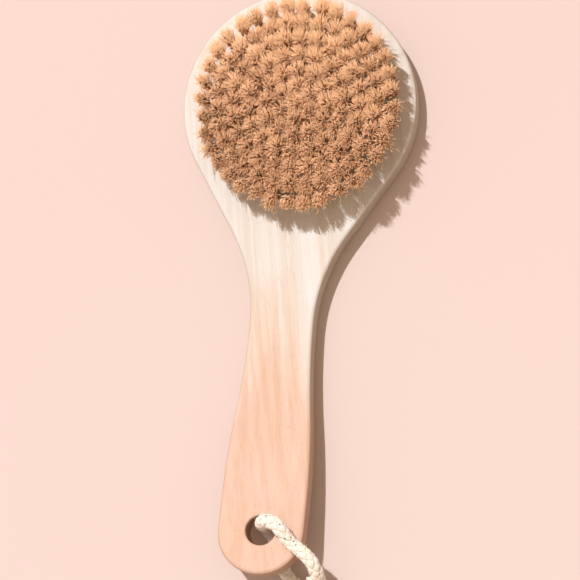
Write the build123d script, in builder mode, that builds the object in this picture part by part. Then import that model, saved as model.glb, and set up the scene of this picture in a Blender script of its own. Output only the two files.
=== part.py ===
from build123d import *
import os
from math import asin, atan, cos, degrees, pi, radians, sin, sqrt, tan

# Body dry brush: a flat wooden bath brush with bristle tufts and a cotton hanging rope.
# Millimetres. The brush lies on its back with the bristles up (+Z).
# Origin: centre of the round head on its flat back face. The handle points to -Y.

# ---- Board: head and handle from one plank ----
overall_length = 250.0
board_thickness = 12.0
head_radius = 50.0
shoulder_angle = 32.0  # degrees from -Y at which the head's edge runs straight into the neck
neck_radius = 72.0  # hollow of each shoulder, down to the waist
waist_half_width = 13.6
grip_half_width = 18.0  # also the radius of the handle's round end
grip_length = 32.0  # at full width, from where the swell stops to the end
bend_start_y = -75.0  # flat up to here, then the handle rises off the table
bend_radius = 700.0  # of the underside
front_edge_radius = 1.5
back_edge_radius = 2.5
hanging_hole_from_end = 18.5  # centre of the hole to the handle's end
hanging_hole_diameter = 12.5
hanging_hole_edge_radius = 0.8

# ---- Bristle field: a centre tuft inside rings of six, twelve, eighteen ... ----
ring_count = 6
ring_step = 6  # each ring holds this many more tufts than the one inside it
bristle_margin = 9.5  # from the outer ring's centres to the head's edge
outer_ring_tilt = 4.0  # degrees outwards at the last ring, in proportion further in
tuft_hole_diameter = 3.5
tuft_hole_depth = 7.0
tuft_clearance = 0.05  # between the tuft's root and its hole, at the side and the bottom
tuft_height = 19.0  # above the board's face
tuft_gap = 0.55  # between the tips of neighbouring tufts
tuft_tip_round = 1.2

# ---- Anchors: a flat wire pressed across the bottom of each tuft's hole ----
anchor_bite = 0.7  # into the wood at each end
anchor_thickness = 0.4
anchor_height = 1.6
anchor_lift = 0.9  # above the hole's bottom: the tuft is folded under the wire
anchor_clearance = 0.04  # between the wire and the tuft folded round it

# ---- Hanging rope ----
rope_diameter = 6.0
arc_share = 0.45  # of the shorter run beside it that each arc of the rope's path may use
knot_centre = (25.0, -206.5, 10.0)
knot_length = 25.0
knot_width = 20.0
knot_turn = 12.0  # degrees about Z

# The two strands meet inside the hanging hole, where the rope leans a little towards
# the head, and each ends inside the knot. Their first runs are in line, so their ends meet.
strand_meeting = (0.6, -179.1, 15.5)
front_strand_points = [
    strand_meeting,
    (-0.4, -178.6, 20.5),
    (3.0, -177.5, 26.5),
    (9.0, -180.0, 28.0),
    (13.0, -186.0, 24.5),
    (19.0, -189.5, 24.5),
    (24.0, -194.5, 23.0),
    (25.5, -200.0, 16.0),
    (25.5, -204.0, 10.5),
]
back_strand_points = [
    strand_meeting,
    (2.2, -179.9, 7.5),
    (6.0, -184.0, 3.2),
    (10.5, -191.0, 3.1),
    (15.0, -199.0, 4.4),
    (21.5, -205.0, 8.6),
]
tail_points = [
    [(30.0, -207.0, 8.0), (38.5, -211.5, 5.0), (44.5, -218.5, 3.1), (47.0, -228.0, 3.1)],
    [(26.0, -208.5, 8.0), (27.5, -217.5, 4.8), (31.5, -225.5, 3.1), (30.0, -235.0, 3.1)],
]

end_y = head_radius - overall_length
end_centre_y = end_y + grip_half_width
grip_start_y = end_y + grip_length
hanging_hole_y = end_y + hanging_hole_from_end
top_radius = bend_radius - board_thickness
ring_pitch = (head_radius - bristle_margin) / ring_count


def face_height(y):
    """Height of the board's bristle side above the table at this y."""
    run = max(0.0, bend_start_y - y)
    return bend_radius - sqrt(top_radius**2 - run**2)


# The straight part of a shoulder touches the head's circle. The neck's hollow touches
# that straight part and the waist, and this sets how far down the handle the waist is.
shoulder = radians(shoulder_angle)
neck_centre_x = waist_half_width + neck_radius
waist_y = (neck_centre_x * cos(shoulder) - head_radius - neck_radius) / sin(shoulder)
neck_start = (
    neck_centre_x - neck_radius * cos(shoulder),
    waist_y + neck_radius * sin(shoulder),
)
# From the waist to the grip the side is two equal arcs, one hollow and one full.
flare_rise = grip_half_width - waist_half_width
flare_run = waist_y - grip_start_y
flare_angle = 2 * degrees(atan(flare_rise / flare_run))
flare_radius = flare_run / (2 * sin(radians(flare_angle)))

blank_height = face_height(end_y) + board_thickness  # taller than the finished board
strip_end_angle = degrees(asin((bend_start_y - end_y + board_thickness) / top_radius))


def tuft_planes(ring):
    """The drilled holes of one ring: origin on the board's face, Z out along the tuft."""
    count = max(1, ring_step * ring)
    tilt = radians(outer_ring_tilt * ring / ring_count)
    planes = []
    for index in range(count):
        angle = 2 * pi * (index + ring % 2 / 2) / count
        outward = Vector(cos(angle), sin(angle), 0)
        along_ring = Vector(-sin(angle), cos(angle), 0)
        spot = outward * ring * ring_pitch + Vector(0, 0, board_thickness)
        direction = outward * sin(tilt) + Vector(0, 0, cos(tilt))
        planes.append(Plane(spot, x_dir=along_ring, z_dir=direction))
    return planes


rings = [tuft_planes(ring) for ring in range(ring_count + 1)]
all_planes = [plane for ring in rings for plane in ring]
anchor_size = (tuft_hole_diameter + 2 * anchor_bite, anchor_thickness, anchor_height)
anchor_middle = -tuft_hole_depth + anchor_lift + anchor_height / 2  # from the board's face
anchor_spots = [plane.offset(anchor_middle) for plane in all_planes]


def meets_wall(edge, height_above_table):
    """True for an edge of the board's outline, or of its hole, on one of its two faces."""
    middle = edge @ 0.5
    run = max(0.0, bend_start_y - middle.Y)
    surface_radius = bend_radius - height_above_table
    surface = bend_radius - sqrt(surface_radius**2 - run**2)
    across = abs((edge % 0.5).X) > 0.999 and edge.geom_type == GeomType.LINE
    return abs(middle.Z - surface) < 0.01 and not across


def around_hole(edge):
    """True for an edge of the hanging hole."""
    middle = edge @ 0.5
    reach = (middle - Vector(0, hanging_hole_y, middle.Z)).length
    return reach < hanging_hole_diameter / 2 + 0.01


# ---- Board ----
with BuildPart() as board:
    with BuildSketch():
        with BuildLine():
            head = JernArc((0, head_radius), (1, 0), head_radius, -90 - shoulder_angle)
            straight = Line(head @ 1, neck_start)
            hollow = JernArc(straight @ 1, straight % 1, neck_radius, shoulder_angle)
            flare = JernArc(hollow @ 1, (0, -1), flare_radius, flare_angle)
            swell = JernArc(flare @ 1, flare % 1, flare_radius, -flare_angle)
            side = Line(swell @ 1, (grip_half_width, end_centre_y))
            JernArc(side @ 1, (0, -1), grip_half_width, -90)
            mirror(about=Plane.YZ)
        make_face()
    extrude(amount=blank_height)
    # the plank seen from the side: flat under the head, then rising along the handle
    with BuildSketch(Plane.YZ):
        with BuildLine():
            under = Line((head_radius + board_thickness, 0), (bend_start_y, 0))
            under_arc = JernArc(under @ 1, (-1, 0), bend_radius, -strip_end_angle)
            over_arc = JernArc((bend_start_y, board_thickness), (-1, 0), top_radius, -strip_end_angle)
            Line(under_arc @ 1, over_arc @ 1)
            Polyline(
                over_arc @ 0,
                (head_radius + board_thickness, board_thickness),
                (head_radius + board_thickness, 0),
            )
        make_face()
    extrude(amount=2 * head_radius, both=True, mode=Mode.INTERSECT)
    with Locations((0, hanging_hole_y, 0)):
        Hole(hanging_hole_diameter / 2)
    front_edges = board.edges().filter_by(lambda edge: meets_wall(edge, board_thickness))
    fillet(front_edges.filter_by(lambda edge: not around_hole(edge)), front_edge_radius)
    back_edges = board.edges().filter_by(lambda edge: meets_wall(edge, 0.0))
    fillet(back_edges.filter_by(lambda edge: not around_hole(edge)), back_edge_radius)
    hole_edges = board.edges().filter_by(around_hole)
    hole_rims = hole_edges.filter_by(
        lambda edge: meets_wall(edge, 0.0) or meets_wall(edge, board_thickness)
    )
    fillet(hole_rims, hanging_hole_edge_radius)
    # blind holes for the tufts, and the cuts that the anchors make in the wood
    with Locations(*all_planes):
        Hole(tuft_hole_diameter / 2, depth=tuft_hole_depth)
    with Locations(*anchor_spots):
        Box(*anchor_size, mode=Mode.SUBTRACT)
board.part.label = "board"

# ---- One tuft: a round root in the hole, flaring to a soft domed tip ----
root_radius = tuft_hole_diameter / 2 - tuft_clearance
root_depth = tuft_hole_depth - tuft_clearance
tip_radius = (ring_pitch - tuft_gap) / 2
slot_size = [size + 2 * anchor_clearance for size in anchor_size]

with BuildPart() as tuft:
    with BuildSketch(Plane.XZ):
        with BuildLine():
            Polyline(
                (0, tuft_height),
                (0, -root_depth),
                (root_radius, -root_depth),
                (root_radius, 0),
                (tip_radius, tuft_height - tuft_tip_round),
            )
            TangentArc((0, tuft_height), (tip_radius, tuft_height - tuft_tip_round), tangent=(1, 0))
        make_face()
    revolve(axis=Axis.Z)
    with Locations((0, 0, anchor_middle)):
        Box(*slot_size, mode=Mode.SUBTRACT)

with BuildPart() as anchor:
    with Locations((0, 0, anchor_middle)):
        Box(*anchor_size)

pieces = [board.part]

for ring, planes in enumerate(rings):
    with BuildPart() as tuft_ring:
        with Locations(*planes):
            add(tuft.part)
    with BuildPart() as anchor_ring:
        with Locations(*planes):
            add(anchor.part)
    name = f"ring_{ring}" if ring else "centre"
    tuft_ring.part.label = f"tufts_{name}"
    anchor_ring.part.label = f"anchors_{name}"
    pieces += [tuft_ring.part, anchor_ring.part]

# ---- Rope knot: the outer shape of the knot, lying on the table ----
knot_plane = Plane(knot_centre, x_dir=(cos(radians(knot_turn)), sin(radians(knot_turn)), 0))

with BuildPart() as knot:
    with BuildSketch(knot_plane):
        Ellipse(knot_length / 2, knot_width / 2)
        with Locations((0, -knot_width / 2)):
            Rectangle(knot_length, knot_width, mode=Mode.SUBTRACT)
    revolve(axis=Axis(knot_plane.origin, knot_plane.x_dir))
knot.part.label = "rope_knot"
pieces.append(knot.part)


def bend_radii(points):
    """The radius of each bend: as round as the two runs beside it allow."""
    spots = [Vector(*point) for point in points]
    radii = []
    for before, corner, after in zip(spots, spots[1:], spots[2:]):
        run_in = corner - before
        run_out = after - corner
        turn = radians(run_in.get_angle(run_out))
        shorter = min(run_in.length, run_out.length)
        radii.append(arc_share * shorter / tan(turn / 2))
    return radii


def rope_length(points):
    """One stretch of rope, along straight runs joined by tangent arcs, up to the knot."""
    radii = bend_radii(points)
    with BuildPart() as stretch:
        with BuildLine() as line:
            path = FilletPolyline(*points, radius=radii)
        with BuildSketch(Plane(path @ 0, z_dir=path % 0)):
            Circle(rope_diameter / 2)
        sweep()
        fullness = stretch.part.volume / (pi * rope_diameter**2 / 4 * line.wire().length)
        add(knot.part, mode=Mode.SUBTRACT)
    print("rope", round(line.wire().length, 1), "mm, volume over section x length", round(fullness, 4))
    print("  bend radii", [round(radius, 1) for radius in radii])
    return stretch.part


with BuildPart() as front_strand:
    add(rope_length(front_strand_points))
front_strand.part.label = "rope_front_strand"

with BuildPart() as back_strand:
    add(rope_length(back_strand_points))
back_strand.part.label = "rope_back_strand"

with BuildPart() as tails:
    for points in tail_points:
        add(rope_length(points))
tails.part.label = "rope_tails"
pieces += [front_strand.part, back_strand.part, tails.part]

os.makedirs("parts", exist_ok=True)
for piece in pieces:
    export_step(piece, f"parts/{piece.label}.step")
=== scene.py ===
import math

import bpy
import numpy as np
from mathutils import Matrix, Vector


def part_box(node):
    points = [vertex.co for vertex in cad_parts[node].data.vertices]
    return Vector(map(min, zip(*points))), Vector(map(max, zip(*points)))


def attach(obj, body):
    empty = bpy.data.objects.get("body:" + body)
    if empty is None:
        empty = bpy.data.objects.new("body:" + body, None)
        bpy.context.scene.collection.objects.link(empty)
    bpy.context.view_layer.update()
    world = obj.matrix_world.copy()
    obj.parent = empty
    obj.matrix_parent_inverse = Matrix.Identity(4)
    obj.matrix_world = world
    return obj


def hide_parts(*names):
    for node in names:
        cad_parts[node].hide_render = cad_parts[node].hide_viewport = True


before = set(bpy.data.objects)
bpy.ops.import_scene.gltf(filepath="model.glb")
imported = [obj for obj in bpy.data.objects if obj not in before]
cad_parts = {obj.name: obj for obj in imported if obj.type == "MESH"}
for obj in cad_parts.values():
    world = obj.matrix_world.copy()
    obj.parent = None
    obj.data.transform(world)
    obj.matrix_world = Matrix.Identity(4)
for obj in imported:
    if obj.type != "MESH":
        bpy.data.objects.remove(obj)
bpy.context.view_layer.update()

# Body dry brush. Metres, in the CAD frame: the brush lies on its back, bristles up (+Z),
# origin at the centre of the round head, handle towards -Y.
MM = 0.001
HEAD_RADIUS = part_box("board")[1].x
FACE_Z = 12.0 * MM  # the board's bristle side at the head
TUFT_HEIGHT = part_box("tufts_centre")[1].z - FACE_Z

# Bristle field, as the CAD model lays it out
RING_COUNT = 6
RING_STEP = 6  # each ring holds this many more tufts than the one inside it
BRISTLE_MARGIN = 9.5 * MM  # from the outer ring's centres to the head's edge
RING_PITCH = (HEAD_RADIUS - BRISTLE_MARGIN) / RING_COUNT
OUTER_RING_TILT = math.radians(4.0)

# Hanging rope. Its routes, in millimetres, have the CAD model's points, but two of the front
# strand's are 0.5 mm lower here and the back strand's last four are moved by up to 5 mm.
ROPE_DIAMETER = 6.0 * MM
STRAND_MEETING = (0.6, -179.1, 15.5)
FRONT_ROUTE = [
    STRAND_MEETING,
    (-0.4, -178.6, 20.5),
    (3.0, -177.5, 26.5),
    (9.0, -180.0, 28.0),
    (13.0, -186.0, 24.0),
    (19.0, -189.5, 24.0),
    (24.0, -194.5, 23.0),
    (25.5, -200.0, 16.0),
    (25.5, -204.0, 10.5),
]
BACK_ROUTE = [
    STRAND_MEETING,
    (2.2, -179.9, 7.5),
    (4.5, -185.0, 3.5),
    (6.5, -193.0, 3.4),
    (11.5, -201.0, 4.4),
    (20.0, -205.5, 8.6),
]
TAIL_ROUTES = [
    [(30.0, -207.0, 8.0), (38.5, -211.5, 5.0), (44.5, -218.5, 3.1), (47.0, -228.0, 3.1)],
    [(26.0, -208.5, 8.0), (27.5, -217.5, 4.8), (31.5, -225.5, 3.1), (30.0, -235.0, 3.1)],
]
KNOT_LOW, KNOT_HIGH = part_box("rope_knot")
KNOT_CENTRE = (KNOT_LOW + KNOT_HIGH) / 2

# Camera: nearly above the brush, a little to its right and towards the handle
CAMERA_PLACE = Vector((277.0, -328.5, 1449.0)) * MM
CAMERA_AIM = Vector((0.3, -77.0, 0.0)) * MM
CAMERA_ROLL = math.radians(4.7)
CAMERA_LENS = 219.8

# Light: a warm, bright surrounding, a sun from the upper left and a weak soft fill
WORLD_COLOUR = (1.0, 0.76, 0.56)
WORLD_STRENGTH = 0.62
SUN_DIRECTION = (0.302, -0.34, -1.0)
SUN_STRENGTH = 3.02
SUN_COLOUR = (1.0, 0.99, 1.0)
SUN_ANGLE = math.radians(1.8)
FILL_DIRECTION = (0.5, 0.4, -1.0)
FILL_POWER = 2.2
FILL_COLOUR = (1.0, 0.92, 0.86)
FILL_SIZE = 1.2

SEED = 7


# ---------------------------------------------------------------- camera and lights


def add_camera():
    back = (CAMERA_PLACE - CAMERA_AIM).normalized()
    right = Vector((0, 1, 0)).cross(back).normalized()
    up = back.cross(right)
    turned_right = right * math.cos(CAMERA_ROLL) + up * math.sin(CAMERA_ROLL)
    turned_up = up * math.cos(CAMERA_ROLL) - right * math.sin(CAMERA_ROLL)
    data = bpy.data.cameras.new("camera")
    data.lens = CAMERA_LENS
    data.clip_end = 10.0
    camera = bpy.data.objects.new("camera", data)
    axes = Matrix((turned_right, turned_up, back)).transposed()
    camera.matrix_world = Matrix.Translation(CAMERA_PLACE) @ axes.to_4x4()
    bpy.context.collection.objects.link(camera)
    bpy.context.scene.camera = camera


def add_light(name, kind, direction, strength, colour, size, distance=2.0):
    """A light that shines along direction at the brush. size: a sun's angle or a lamp's width."""
    data = bpy.data.lights.new(name, kind)
    data.energy = strength
    data.color = colour
    if kind == "SUN":
        data.angle = size
    else:
        data.size = size
    light = bpy.data.objects.new(name, data)
    towards = Vector(direction).normalized()
    light.location = CAMERA_AIM - towards * distance
    light.rotation_mode = "QUATERNION"
    light.rotation_quaternion = towards.to_track_quat("-Z", "Y")
    bpy.context.collection.objects.link(light)


def add_world(colour, strength):
    world = bpy.data.worlds.new("soft_surroundings")
    world.use_nodes = True
    background = world.node_tree.nodes["Background"]
    background.inputs["Color"].default_value = (*colour, 1)
    background.inputs["Strength"].default_value = strength
    bpy.context.scene.world = world


# ---------------------------------------------------------------- node helpers


class Nodes:
    """Short ways to add shader nodes to one material."""

    def __init__(self, name):
        self.material = bpy.data.materials.new(name)
        self.material.use_nodes = True
        self.tree = self.material.node_tree
        self.shader = self.tree.nodes["Principled BSDF"]

    def node(self, kind, **settings):
        made = self.tree.nodes.new(kind)
        for key, value in settings.items():
            setattr(made, key, value)
        return made

    def put(self, socket, value):
        if isinstance(value, bpy.types.NodeSocket):
            self.tree.links.new(value, socket)
        else:
            socket.default_value = value

    def coordinates(self, scale=(1, 1, 1), turn=0.0, shift=(0, 0, 0)):
        """Object coordinates, turned about Z and then stretched."""
        source = self.node("ShaderNodeTexCoord")
        turned = self.node("ShaderNodeMapping", vector_type="POINT")
        self.put(turned.inputs["Vector"], source.outputs["Object"])
        turned.inputs["Rotation"].default_value = (0, 0, turn)
        stretched = self.node("ShaderNodeMapping", vector_type="POINT")
        self.put(stretched.inputs["Vector"], turned.outputs["Vector"])
        stretched.inputs["Scale"].default_value = scale
        stretched.inputs["Location"].default_value = shift
        return stretched.outputs["Vector"]

    def noise(self, vector, scale=1.0, detail=3.0, roughness=0.5, distortion=0.0):
        made = self.node("ShaderNodeTexNoise")
        self.put(made.inputs["Vector"], vector)
        made.inputs["Scale"].default_value = scale
        made.inputs["Detail"].default_value = detail
        made.inputs["Roughness"].default_value = roughness
        made.inputs["Distortion"].default_value = distortion
        return made.outputs["Fac"]

    def attribute(self, name):
        made = self.node("ShaderNodeAttribute", attribute_name=name)
        return made.outputs["Fac"]

    def ramp(self, value, *stops):
        """stops are (place, colour) pairs. A colour may be one grey number."""
        made = self.node("ShaderNodeValToRGB")
        self.put(made.inputs["Fac"], value)
        elements = made.color_ramp.elements
        elements[0].position = stops[0][0]
        elements[-1].position = stops[-1][0]
        for place, colour in stops[1:-1]:
            elements.new(place)
        for element, (place, colour) in zip(elements, stops):
            if isinstance(colour, (int, float)):
                colour = (colour, colour, colour)
            element.color = (*colour, 1)
        return made.outputs["Color"]

    def math(self, operation, first, second=0.0):
        made = self.node("ShaderNodeMath", operation=operation)
        self.put(made.inputs[0], first)
        self.put(made.inputs[1], second)
        return made.outputs[0]

    def mix(self, factor, first, second, blend="MIX"):
        made = self.node("ShaderNodeMix", data_type="RGBA", blend_type=blend)
        self.put(made.inputs["Factor"], factor)
        for socket, value in ((made.inputs[6], first), (made.inputs[7], second)):
            self.put(socket, value if isinstance(value, bpy.types.NodeSocket) else (*value, 1))
        return made.outputs[2]

    def axis(self, vector, name):
        made = self.node("ShaderNodeSeparateXYZ")
        self.put(made.inputs[0], vector)
        return made.outputs[name]

    def bump(self, height, distance, strength=1.0):
        made = self.node("ShaderNodeBump")
        self.put(made.inputs["Height"], height)
        made.inputs["Distance"].default_value = distance
        made.inputs["Strength"].default_value = strength
        self.put(self.shader.inputs["Normal"], made.outputs["Normal"])

    def finish(self, colour, roughness, **sockets):
        self.put(self.shader.inputs["Base Color"], colour)
        self.put(self.shader.inputs["Roughness"], roughness)
        for name, value in sockets.items():
            self.put(self.shader.inputs[name.replace("_", " ")], value)
        return self.material


# ---------------------------------------------------------------- materials

GRAIN_TURN = math.radians(-9.0)  # the grain runs down the handle and a little to -X


def wood_material():
    """Pale sanded wood: cream at the head, warmer down the handle, with long soft grain and painted
    shade that darkens its side walls.
    """
    wood = Nodes("pale_wood")
    place = wood.coordinates()
    bands = wood.noise(wood.coordinates((95, 5, 95), GRAIN_TURN), detail=2, distortion=0.3)
    streaks = wood.noise(wood.coordinates((420, 9, 420), GRAIN_TURN, (3, 1, 0)), detail=3)
    fibres = wood.noise(wood.coordinates((1900, 45, 1900), GRAIN_TURN, (7, 2, 0)), detail=2)
    pores = wood.noise(wood.coordinates((3200, 210, 3200), GRAIN_TURN, (1, 9, 0)), detail=1)
    patches = wood.noise(place, scale=22, detail=2)
    # 0 at the head's centre and 1 at 200 mm down the handle, made uneven by patches and bands
    along = wood.math("MULTIPLY", wood.axis(place, "Y"), -5.0)
    along = wood.math("ADD", along, wood.math("MULTIPLY", patches, 0.35))
    along = wood.math("ADD", along, wood.math("MULTIPLY", wood.math("SUBTRACT", bands, 0.28), 0.60))
    base = wood.ramp(
        along,
        (0.68, (0.655, 0.645, 0.63)),
        (0.82, (0.65, 0.56, 0.495)),
        (0.96, (0.645, 0.455, 0.365)),
    )
    warm = wood.ramp(bands, (0.40, (1.0, 1.0, 1.0)), (0.62, (0.975, 0.925, 0.875)))
    colour = wood.mix(0.75, base, warm, "MULTIPLY")
    late = wood.ramp(streaks, (0.40, (0.95, 0.91, 0.87)), (0.56, (1.0, 1.0, 1.0)))
    colour = wood.mix(0.8, colour, late, "MULTIPLY")
    fine = wood.ramp(fibres, (0.35, (0.95, 0.93, 0.90)), (0.60, (1.0, 1.0, 1.0)))
    colour = wood.mix(0.7, colour, fine, "MULTIPLY")
    dots = wood.ramp(pores, (0.26, (0.80, 0.68, 0.55)), (0.33, (1.0, 1.0, 1.0)))
    colour = wood.mix(0.6, colour, dots, "MULTIPLY")
    height = wood.math("ADD", wood.math("MULTIPLY", fibres, 0.6), streaks)
    wood.bump(height, 0.00006, 0.5)
    # painted shade: where the normal turns away from +Z, the board's side walls are darkened as if
    # in shadow
    facing = wood.axis(wood.node("ShaderNodeTexCoord").outputs["Normal"], "Z")
    sides = wood.ramp(facing, (0.25, (0.70, 0.64, 0.57)), (0.75, (1.0, 1.0, 1.0)))
    colour = wood.mix(1.0, colour, sides, "MULTIPLY")
    shine = wood.ramp(streaks, (0.3, 0.64), (0.7, 0.54))
    return wood.finish(colour, shine, Specular_IOR_Level=0.28)


def bristle_material():
    """Natural bristle: tan along its length and paler at the tip, with painted shade that darkens
    it towards the root.
    """
    hair = Nodes("natural_bristle")
    along = hair.attribute("along")
    shade = hair.attribute("shade")
    # the darker root stop is painted shade, where the bristle mass shades its own depths
    body = hair.ramp(
        along,
        (0.0, (0.68, 0.38, 0.19)),
        (0.45, (0.96, 0.58, 0.31)),
        (0.85, (0.95, 0.56, 0.29)),
        (1.0, (0.93, 0.60, 0.345)),
    )
    tone = hair.ramp(
        shade,
        (0.0, (0.88, 0.82, 0.77)),
        (0.5, (1.02, 1.01, 1.0)),
        (1.0, (1.08, 1.08, 1.08)),
    )
    colour = hair.mix(1.0, body, tone, "MULTIPLY")
    wave = hair.noise(hair.coordinates((900, 900, 300)), detail=2)
    speck = hair.ramp(wave, (0.35, 0.92), (0.65, 1.0))
    colour = hair.mix(1.0, colour, speck, "MULTIPLY")
    return hair.finish(colour, hair.ramp(wave, (0.3, 0.34), (0.7, 0.5)), Specular_IOR_Level=0.6)


def wire_material():
    """Drawn steel wire with fine lengthwise marks."""
    wire = Nodes("anchor_wire_metal")
    marks = wire.noise(wire.coordinates((400, 400, 6000)), detail=3)
    colour = wire.ramp(marks, (0.3, (0.42, 0.41, 0.39)), (0.7, (0.62, 0.61, 0.58)))
    wire.bump(marks, 0.00002, 0.4)
    return wire.finish(colour, wire.ramp(marks, (0.3, 0.28), (0.7, 0.45)), Metallic=1.0)


def cotton_material():
    """Undyed cotton yarn with a few grey flecks."""
    yarn = Nodes("undyed_cotton")
    flecks = yarn.noise(yarn.coordinates((620, 620, 620), shift=(2, 5, 1)), detail=1, roughness=0.6)
    fleck = yarn.ramp(flecks, (0.655, (0, 0, 0)), (0.70, (1, 1, 1)))
    plies = yarn.noise(yarn.coordinates((2600, 2600, 2600)), detail=3)
    soil = yarn.noise(yarn.coordinates((140, 140, 140)), detail=2)
    colour = yarn.ramp(plies, (0.30, (0.79, 0.735, 0.67)), (0.62, (0.90, 0.86, 0.81)))
    tint = yarn.ramp(soil, (0.35, (1.0, 0.97, 0.90)), (0.65, (1.0, 1.0, 1.0)))
    colour = yarn.mix(1.0, colour, tint, "MULTIPLY")
    colour = yarn.mix(yarn.axis(fleck, "X"), colour, (0.20, 0.185, 0.18))
    yarn.bump(plies, 0.00014, 0.6)
    return yarn.finish(colour, 0.9, Sheen_Weight=0.35, Sheen_Roughness=0.5)


def floor_material():
    """Plain pale pink paper."""
    paper = Nodes("pale_paper")
    cloud = paper.noise(paper.coordinates(), scale=2.2, detail=2)
    grain = paper.noise(paper.coordinates(), scale=900, detail=2)
    colour = paper.ramp(cloud, (0.3, (0.635, 0.51, 0.48)), (0.7, (0.635, 0.53, 0.495)))
    paper.bump(grain, 0.00003, 0.3)
    return paper.finish(colour, 0.85)


# ---------------------------------------------------------------- mesh helpers


def mesh_object(name, points, faces, material, attributes=None):
    """A smooth-shaded mesh from points in metres. attributes: name -> one float a point."""
    mesh = bpy.data.meshes.new(name)
    mesh.from_pydata([tuple(point) for point in points], [], faces)
    for key, values in (attributes or {}).items():
        layer = mesh.attributes.new(key, "FLOAT", "POINT")
        layer.data.foreach_set("value", np.asarray(values, dtype=np.float32))
    mesh.polygons.foreach_set("use_smooth", [True] * len(mesh.polygons))
    mesh.materials.append(material)
    mesh.update()
    made = bpy.data.objects.new(name, mesh)
    bpy.context.collection.objects.link(made)
    return made


def join_shells(shells):
    """One point list and one face list from many (points, faces) pairs."""
    points = []
    faces = []
    for shell_points, shell_faces in shells:
        start = sum(len(block) for block in points)
        points.append(shell_points)
        faces += [tuple(start + index for index in face) for face in shell_faces]
    return np.vstack(points), faces


def frames_along(line):
    """Tangent and two side directions at each point of a line, without twist."""
    tangents = np.gradient(line, axis=0)
    tangents /= np.linalg.norm(tangents, axis=1)[:, None]
    side = np.cross(tangents[0], (0.31, 0.22, 0.93))
    side /= np.linalg.norm(side)
    firsts = []
    for tangent in tangents:
        side = side - tangent * np.dot(side, tangent)
        side /= np.linalg.norm(side)
        firsts.append(side)
    firsts = np.array(firsts)
    return tangents, firsts, np.cross(tangents, firsts)


def tube_shell(line, widths, sides, flat=1.0, outward=None):
    """Points and faces of a closed tube round a line. flat squeezes it along outward."""
    tangents, firsts, seconds = frames_along(line)
    if outward is not None:
        firsts = outward - tangents * np.sum(outward * tangents, axis=1)[:, None]
        firsts /= np.linalg.norm(firsts, axis=1)[:, None]
        seconds = np.cross(tangents, firsts)
    angles = 2 * math.pi * np.arange(sides) / sides
    rings = (
        line[:, None, :]
        + widths[:, None, None]
        * (
            flat * np.cos(angles)[None, :, None] * firsts[:, None, :]
            + np.sin(angles)[None, :, None] * seconds[:, None, :]
        )
    )
    count = len(line)
    faces = []
    for row in range(count - 1):
        for index in range(sides):
            after = (index + 1) % sides
            here = row * sides
            faces.append((here + index, here + after, here + sides + after, here + sides + index))
    faces.append(tuple(reversed(range(sides))))
    faces.append(tuple((count - 1) * sides + index for index in range(sides)))
    return rings.reshape(-1, 3), faces


# ---------------------------------------------------------------- bristles


def tuft_places(ring):
    """Where one ring's tufts leave the board, and which way each one points."""
    count = max(1, RING_STEP * ring)
    tilt = OUTER_RING_TILT * ring / RING_COUNT
    places = []
    for index in range(count):
        angle = 2 * math.pi * (index + ring % 2 / 2) / count
        outward = np.array((math.cos(angle), math.sin(angle), 0.0))
        axis = outward * math.sin(tilt) + np.array((0.0, 0.0, math.cos(tilt)))
        root = outward * ring * RING_PITCH + np.array((0.0, 0.0, FACE_Z))
        places.append((root, outward, axis))
    return places


FIBRES_IN_TUFT = 205
FIBRE_RADIUS = 0.16 * MM
FIBRE_SIDES = 3
FIBRE_STEPS = 4
NORMAL_TO_TIP = 3.4  # how far a tip's normals turn along its fibre; 1 is half-way
FIBRE_ROOT_DEPTH = 1.2 * MM  # the fibres start this far inside the drilled hole
FOOT_RADIUS = 1.5 * MM  # of the tuft where it leaves the board
TIP_RADIUS = 6.4 * MM  # of the tuft at its tips, and how much less in the outer ring
OUTER_TIP_LOSS = 1.0 * MM
LOCKS_IN_TUFT = 10
LOCK_SPREAD = 2.3 * MM
LOCK_PULL = 0.25  # the share of the way that tips are drawn to their lock
OUTER_LOCK_PULL = 0.13  # added in the outer ring
STRAY_SHARE = 0.07
STRAY_REACH = 1.5
CROWN_DROP = 1.2 * MM  # how much lower a tip stands at CROWN_RADIUS from its tuft's middle
CROWN_RADIUS = 4.0 * MM
FIBRE_LEAN = np.array((1.7, -2.3, 0.0)) * MM  # the whole field leans to the handle and +X
LEAN_GROWTH = np.array((-1.2, 1.0, 0.0)) * MM  # more lean at the field's edge, in X and in Y


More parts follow.
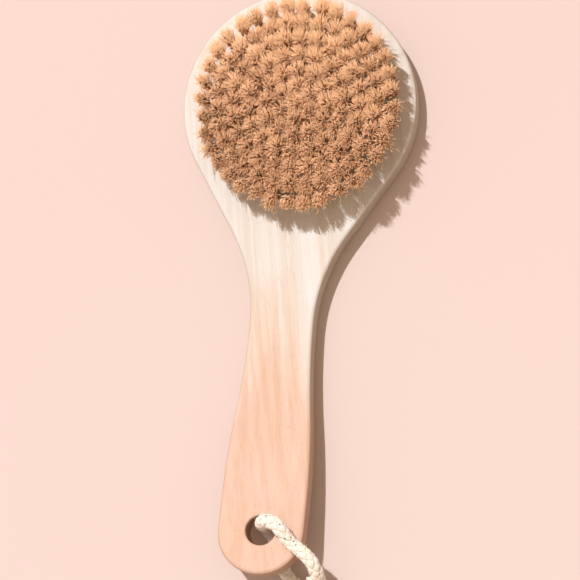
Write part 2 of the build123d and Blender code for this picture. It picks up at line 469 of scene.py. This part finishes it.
def tuft_fibres(root, outward, axis, ring, random):
    """The fibre lines of one tuft: an array of (fibre, step, xyz), and a shade for each."""
    side = np.cross(axis, outward)
    spread = np.sqrt(random.random(FIBRES_IN_TUFT))
    angle = 2 * math.pi * random.random(FIBRES_IN_TUFT)
    flat_way = np.stack([np.cos(angle), np.sin(angle)], axis=1)
    foot = flat_way * (spread * FOOT_RADIUS)[:, None]
    edge = ring / RING_COUNT
    widest = TIP_RADIUS - OUTER_TIP_LOSS * edge**5
    tip = flat_way * (spread * widest + 0.15 * MM)[:, None]
    # each fibre's tip is drawn to one of a few locks
    locks = random.normal(0, LOCK_SPREAD, (LOCKS_IN_TUFT, 2))
    chosen = locks[random.integers(0, len(locks), FIBRES_IN_TUFT)]
    drawn = LOCK_PULL + OUTER_LOCK_PULL * edge**5
    tip = tip * (1 - drawn) + chosen * drawn + random.normal(0, 0.35 * MM, (FIBRES_IN_TUFT, 2))
    stray = random.random(FIBRES_IN_TUFT) < STRAY_SHARE
    tip = np.where(stray[:, None], tip * STRAY_REACH, tip)
    lean = FIBRE_LEAN + LEAN_GROWTH * outward * edge + random.normal(0, 0.5 * MM, 3) * (1, 1, 0)
    lean = lean + outward * (0.2 * MM + random.normal(0, 0.5 * MM)) * edge**4
    reach = np.linalg.norm(tip, axis=1) / CROWN_RADIUS
    height = TUFT_HEIGHT - 0.25 * MM - CROWN_DROP * reach**2
    height = height - np.abs(random.normal(0, 0.55 * MM, FIBRES_IN_TUFT))
    bow = random.normal(0, 0.28 * MM, (FIBRES_IN_TUFT, 2))
    steps = np.linspace(0, 1, FIBRE_STEPS + 1)
    lines = np.zeros((FIBRES_IN_TUFT, len(steps), 3))
    for place, step in enumerate(steps):
        across = foot + (tip - foot) * step**1.5 + bow * math.sin(math.pi * step)
        up = -FIBRE_ROOT_DEPTH + (height + FIBRE_ROOT_DEPTH) * step
        lines[:, place] = (
            root
            + across[:, :1] * outward
            + across[:, 1:] * side
            + up[:, None] * axis
            + lean * step**1.6
        )
    lines[:, :, 2] = np.minimum(lines[:, :, 2], FACE_Z + TUFT_HEIGHT)
    shade = np.clip(random.normal(0.5, 0.2, FIBRES_IN_TUFT) + random.normal(0, 0.07), 0, 1)
    return lines, shade


def fibre_mesh(name, lines, shades, radius, material):
    """Thin pointed tubes, all with the same number of steps, as one mesh.

    Their normals turn towards the tip along each fibre, so a lock of hair shades as one soft form.
    """
    count, steps = lines.shape[0], lines.shape[1]
    directions = lines[:, -1] - lines[:, 0]
    directions /= np.linalg.norm(directions, axis=1)[:, None]
    firsts = np.cross(directions, (0.83, 0.41, 0.37))
    firsts /= np.linalg.norm(firsts, axis=1)[:, None]
    seconds = np.cross(directions, firsts)
    taper = np.interp(np.linspace(0, 1, steps), (0, 0.7, 1), (0.9, 1.0, 0.6)) * radius
    points = np.zeros((count, steps, FIBRE_SIDES, 3))
    normals = np.zeros_like(points)
    tipward = np.linspace(0.15, NORMAL_TO_TIP, steps)
    for corner in range(FIBRE_SIDES):
        angle = 2 * math.pi * corner / FIBRE_SIDES
        offset = math.cos(angle) * firsts + math.sin(angle) * seconds
        points[:, :, corner] = lines + offset[:, None, :] * taper[None, :, None]
        normals[:, :, corner] = offset[:, None, :] + directions[:, None, :] * tipward[None, :, None]
    normals /= np.linalg.norm(normals, axis=3)[:, :, :, None]
    per_fibre = steps * FIBRE_SIDES
    pattern = []
    for row in range(steps - 1):
        for corner in range(FIBRE_SIDES):
            here = row * FIBRE_SIDES
            after = (corner + 1) % FIBRE_SIDES
            pattern.append((here + corner, here + after, here + FIBRE_SIDES + after))
            pattern.append((here + corner, here + FIBRE_SIDES + after, here + FIBRE_SIDES + corner))
    last = (steps - 1) * FIBRE_SIDES
    pattern.append((0, 2, 1))
    pattern.append((last, last + 1, last + 2))
    pattern = np.array(pattern)
    faces = (pattern[None] + (np.arange(count) * per_fibre)[:, None, None]).reshape(-1, 3)
    attributes = {
        "along": np.tile(np.repeat(np.linspace(0, 1, steps), FIBRE_SIDES), count),
        "shade": np.repeat(shades, per_fibre),
    }
    made = mesh_object(name, points.reshape(-1, 3), faces.tolist(), material, attributes)
    made.data.normals_split_custom_set_from_vertices(normals.reshape(-1, 3).tolist())
    return made


def add_bristles(material):
    for ring in range(RING_COUNT + 1):
        name = f"ring_{ring}" if ring else "centre"
        random = np.random.default_rng(SEED + ring)
        lines = []
        shades = []
        for root, outward, axis in tuft_places(ring):
            tuft_lines, tuft_shades = tuft_fibres(root, outward, axis, ring, random)
            lines.append(tuft_lines)
            shades.append(tuft_shades)
        piece = fibre_mesh(
            f"bristles_{name}",
            np.concatenate(lines),
            np.concatenate(shades),
            FIBRE_RADIUS,
            material,
        )
        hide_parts(f"tufts_{name}")
        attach(piece, "root")


# ---------------------------------------------------------------- rope


def route_line(name, route):
    """Points along the smooth line that a route's points control, in metres."""
    curve = bpy.data.curves.new(name, "CURVE")
    curve.dimensions = "3D"
    spline = curve.splines.new("NURBS")
    spline.points.add(len(route) - 1)
    for point, spot in zip(spline.points, route):
        point.co = (*(Vector(spot) * MM), 1)
    spline.order_u = 3
    spline.use_endpoint_u = True
    spline.resolution_u = 16
    holder = bpy.data.objects.new(name, curve)
    mesh = bpy.data.meshes.new_from_object(holder)
    line = np.array([vertex.co for vertex in mesh.vertices])
    bpy.data.objects.remove(holder)
    bpy.data.meshes.remove(mesh)
    return line


def line_lengths(line):
    return np.concatenate([[0], np.cumsum(np.linalg.norm(np.diff(line, axis=0), axis=1))])


def resample(line, step):
    """The same line with its points evenly spaced."""
    lengths = line_lengths(line)
    places = np.linspace(0, lengths[-1], max(4, round(lengths[-1] / step) + 1))
    return np.stack([np.interp(places, lengths, line[:, axis]) for axis in range(3)], axis=1)


BRAID_PITCH = 17.0 * MM
BRAID_STEP = 0.55 * MM
YARNS_EACH_WAY = 4
YARN_SHARE = 0.185  # a yarn's radius, as a share of the rope's diameter
YARN_WIDENING = 1.32  # pressed flat, a yarn is this much wider and
YARN_FLATNESS = 0.48  # its thickness is this share of its width
YARN_WEAVE = 0.42  # how far it rises and dips as it crosses others, in yarn radii


def braid_shells(line, diameter, random, tight=1.0):
    """Eight flat yarns, four each way round, passing over and under each other."""
    line = resample(line, BRAID_STEP)
    lengths = line_lengths(line)
    _, firsts, seconds = frames_along(line)
    yarn_radius = diameter * YARN_SHARE
    middle_radius = diameter / 2 - yarn_radius * 1.02
    turn = 2 * math.pi * lengths / (BRAID_PITCH * tight)
    over = np.cos(YARNS_EACH_WAY * turn)
    swell = 1 + 0.03 * np.sin(lengths / (4.3 * MM) + random.random() * 6)
    shells = []
    for way in (1, -1):
        for yarn in range(YARNS_EACH_WAY):
            angle = way * turn + 2 * math.pi * yarn / YARNS_EACH_WAY
            wander = np.interp(
                lengths,
                np.linspace(0, lengths[-1], 9),
                random.normal(0, 0.10 * MM, 9),
            )
            radius = (middle_radius + way * over * yarn_radius * YARN_WEAVE) * swell + wander
            outward = np.cos(angle)[:, None] * firsts + np.sin(angle)[:, None] * seconds
            centre = line + outward * radius[:, None]
            unevenness = 1 + 0.06 * np.sin(lengths / (1.7 * MM) + yarn)
            widths = np.full(len(line), yarn_radius * YARN_WIDENING) * unevenness
            shells.append(tube_shell(centre, widths, 10, YARN_FLATNESS, outward))
    shells.append(tube_shell(line, np.full(len(line), middle_radius * 0.9), 6))
    return shells


def fluff_lines(line, radius, count, random, reach=1.1 * MM, steps=4):
    """Short loose fibres standing off the surface of a rope."""
    line = resample(line, BRAID_STEP)
    tangents, firsts, seconds = frames_along(line)
    lines = np.zeros((count, steps, 3))
    for index in range(count):
        spot = random.integers(1, len(line) - 1)
        angle = 2 * math.pi * random.random()
        outward = math.cos(angle) * firsts[spot] + math.sin(angle) * seconds[spot]
        start = line[spot] + outward * (radius * 0.93)
        lean = tangents[spot] * random.normal(0, 1.0)
        lean = lean + np.cross(tangents[spot], outward) * random.normal(0, 0.9)
        lean = lean / np.linalg.norm(lean)
        size = reach * (0.5 + random.random())
        for step in range(steps):
            share = step / (steps - 1)
            rise = outward * (size * 0.55 * math.sin(share * 1.9))
            lines[index, step] = start + lean * (size * share) + rise
    return lines


def fluff_shells(line, radius, count, random):
    widths = np.array((0.045, 0.045, 0.04, 0.02)) * MM
    return [tube_shell(fibre, widths, 3) for fibre in fluff_lines(line, radius, count, random)]


def add_strand(name, node, route, material, random):
    """One free strand of the hanging rope, from the hole to the knot."""
    line = route_line(name + "_line", route)
    shells = braid_shells(line, ROPE_DIAMETER, random)
    shells += fluff_shells(line, ROPE_DIAMETER / 2, 260, random)
    points, faces = join_shells(shells)
    points[:, 2] = np.maximum(points[:, 2], 0.05 * MM)
    piece = mesh_object(name, points, faces, material)
    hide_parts(node)
    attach(piece, "root")
    return piece, line


# ---------------------------------------------------------------- knot and tails

KNOT_AXIS_TURN = math.radians(-70.0)  # of the knot's own length from +X
KNOT_ROPE = 5.0 * MM  # the rope is drawn tight in the knot
KNOT_WRAP_RADIUS = 6.6 * MM
KNOT_TURNS = 1.35
KNOT_START_ANGLE = 0.9
KNOT_TUCK = 0.14  # the share of a wrap's length, at each end, over which it dives inside
KNOT_TUCK_RADIUS = 0.42  # of its ends, as a share of the wrap's radius
KNOT_CORE_REACH = 8.2 * MM


def knot_lines():
    """The doubled rope's turns round its own core, and the core."""
    axis = np.array((math.cos(KNOT_AXIS_TURN), math.sin(KNOT_AXIS_TURN), 0.0))
    side = np.array((-axis[1], axis[0], 0.0))
    up = np.array((0.0, 0.0, 1.0))
    centre = np.array(KNOT_CENTRE)
    lines = []
    share = np.linspace(0, 1, 70)
    for strand in (-1, 1):
        tuck = np.sin(np.clip(np.minimum(share, 1 - share) / KNOT_TUCK, 0, 1) * math.pi / 2)
        radius = KNOT_WRAP_RADIUS * (KNOT_TUCK_RADIUS + (1 - KNOT_TUCK_RADIUS) * tuck)
        angle = 2 * math.pi * KNOT_TURNS * share + KNOT_START_ANGLE
        slide = strand * KNOT_ROPE * 0.48 + (share - 0.5) * KNOT_ROPE * 1.15
        line = (
            centre
            + axis * slide[:, None]
            + side * (radius * np.cos(angle))[:, None]
            + up * (radius * np.sin(angle))[:, None]
        )
        lines.append(line)
    for strand in (-1, 1):
        reach = np.linspace(-1, 1, 24)
        line = (
            centre
            + axis * (reach * KNOT_CORE_REACH)[:, None]
            + side * (strand * 1.9 * MM * np.cos(reach * 1.2))[:, None]
            + up * (strand * 1.6 * MM * np.sin(reach * 1.5))[:, None]
        )
        lines.append(line)
    return lines


def add_knot(material, random):
    """The overhand knot, drawn tight, that closes the loop."""
    shells = []
    for line in knot_lines():
        shells += braid_shells(line, KNOT_ROPE, random, 0.9)
        shells += fluff_shells(line, KNOT_ROPE / 2, 110, random)
    points, faces = join_shells(shells)
    points[:, 2] = np.maximum(points[:, 2], 0.1 * MM)
    piece = mesh_object("rope_knot_braid", points, faces, material)
    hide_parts("rope_knot")
    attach(piece, "root")
    return piece


def frayed_end(line, random, count=170, reach=6.0 * MM):
    """The loose yarn fibres at a cut end of the rope."""
    line = resample(line, BRAID_STEP)
    tangents, firsts, seconds = frames_along(line)
    end = line[-1]
    steps = 5
    shells = []
    for _ in range(count):
        angle = 2 * math.pi * random.random()
        out = math.sqrt(random.random())
        way = math.cos(angle) * firsts[-1] + math.sin(angle) * seconds[-1]
        size = reach * (0.55 + 0.55 * random.random())
        flare = 1.7 * MM * out + random.normal(0, 0.5 * MM)
        curl = random.normal(0, 0.45 * MM, 3)
        fibre = []
        for step in range(steps):
            share = step / (steps - 1)
            spot = end - tangents[-1] * 1.5 * MM + tangents[-1] * size * share
            spot = spot + way * (out * 2.3 * MM + flare * share**1.6) + curl * share**2
            spot[2] = max(spot[2] - 0.9 * MM * share**2, 0.15 * MM)
            fibre.append(spot)
        widths = np.array((0.11, 0.11, 0.10, 0.08, 0.04)) * MM
        shells.append(tube_shell(np.array(fibre), widths, 3))
    return shells


def add_tails(material, random):
    """The rope's two short ends past the knot."""
    shells = []
    for route in TAIL_ROUTES:
        line = route_line("tail_line", route)
        shells += braid_shells(line, ROPE_DIAMETER, random)
        shells += fluff_shells(line, ROPE_DIAMETER / 2, 130, random)
        shells += frayed_end(line, random)
    points, faces = join_shells(shells)
    points[:, 2] = np.maximum(points[:, 2], 0.05 * MM)
    piece = mesh_object("rope_tails_braid", points, faces, material)
    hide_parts("rope_tails")
    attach(piece, "root")
    return piece


def add_rope(material):
    random = np.random.default_rng(SEED + 100)
    front, front_line = add_strand(
        "front_strand_braid", "rope_front_strand", FRONT_ROUTE, material, random
    )
    back, back_line = add_strand(
        "back_strand_braid", "rope_back_strand", BACK_ROUTE, material, random
    )
    knot = add_knot(material, random)
    tails = add_tails(material, random)


# ---------------------------------------------------------------- board, anchors, floor


def finish_node(node, material):
    """Gives a CAD node a material in place of its plain one."""
    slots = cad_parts[node].data.materials
    slots.clear()
    slots.append(material)


def add_floor(material):
    reach = 2.0
    corners = [(-reach, -reach, 0), (reach, -reach, 0), (reach, reach, 0), (-reach, reach, 0)]
    floor = mesh_object("floor", corners, [(0, 1, 2, 3)], material)


add_camera()
add_rope(cotton_material())
add_bristles(bristle_material())
finish_node("board", wood_material())
wire = wire_material()
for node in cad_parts:
    if node.startswith("anchors_"):
        finish_node(node, wire)
add_floor(floor_material())

add_world(WORLD_COLOUR, WORLD_STRENGTH)
add_light("sun", "SUN", SUN_DIRECTION, SUN_STRENGTH, SUN_COLOUR, SUN_ANGLE)
add_light("fill", "AREA", FILL_DIRECTION, FILL_POWER, FILL_COLOUR, FILL_SIZE)
bpy.context.scene.view_settings.view_transform = "Standard"
